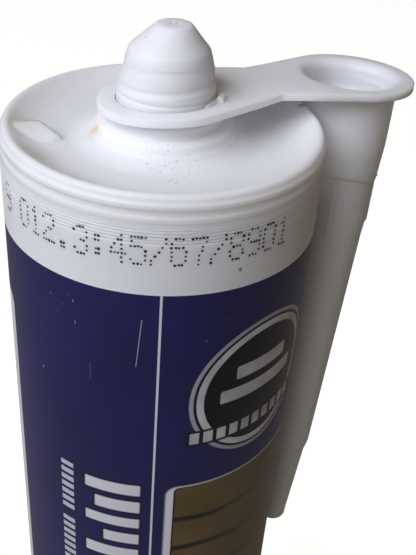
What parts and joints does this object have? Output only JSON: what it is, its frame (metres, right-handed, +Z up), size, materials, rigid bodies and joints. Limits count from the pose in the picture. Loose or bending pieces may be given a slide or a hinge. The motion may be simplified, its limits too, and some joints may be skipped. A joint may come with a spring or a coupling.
{
  "type": "caulk tube",
  "caption": "Round plastic cartridge of sealing paste with a closed threaded spout, a sliding piston, and a spare tapered nozzle hanging by a strap ring.",
  "frame": {"origin": "centre of the barrel's open foot, on the plane it stands on", "axes": "+Z up the barrel's axis to the spout; the nozzle hangs at 25 degrees from +X towards +Y; -Y faces the viewer of the picture"},
  "size_m": [0.0662, 0.0501, 0.2151],
  "materials": {
    "white_polyethylene": "moulded white polyethylene, satin, printed navy from 16 mm below the rim",
    "piston_polyethylene": "moulded natural polyethylene",
    "sealing_paste": "off-white paste",
    "nozzle_polyethylene": "moulded white polyethylene, satin and slightly see-through"
  },
  "bodies": {
    "barrel": {"cartridge": "white_polyethylene", "sealant": "sealing_paste"},
    "piston": {"piston": "piston_polyethylene"},
    "nozzle": {"nozzle": "nozzle_polyethylene"}
  },
  "joints": [
    {"name": "nozzle_swivel", "type": "hinge", "parent": "barrel", "child": "nozzle", "pos_m": [0, 0, 0.2037], "axis": [0, 0, 1], "continuous": true},
    {"name": "piston_slide", "type": "slide", "parent": "barrel", "child": "piston", "axis": [0, 0, 1], "range_m": [0, 0.178], "deforming": ["sealant"]}
  ]
}
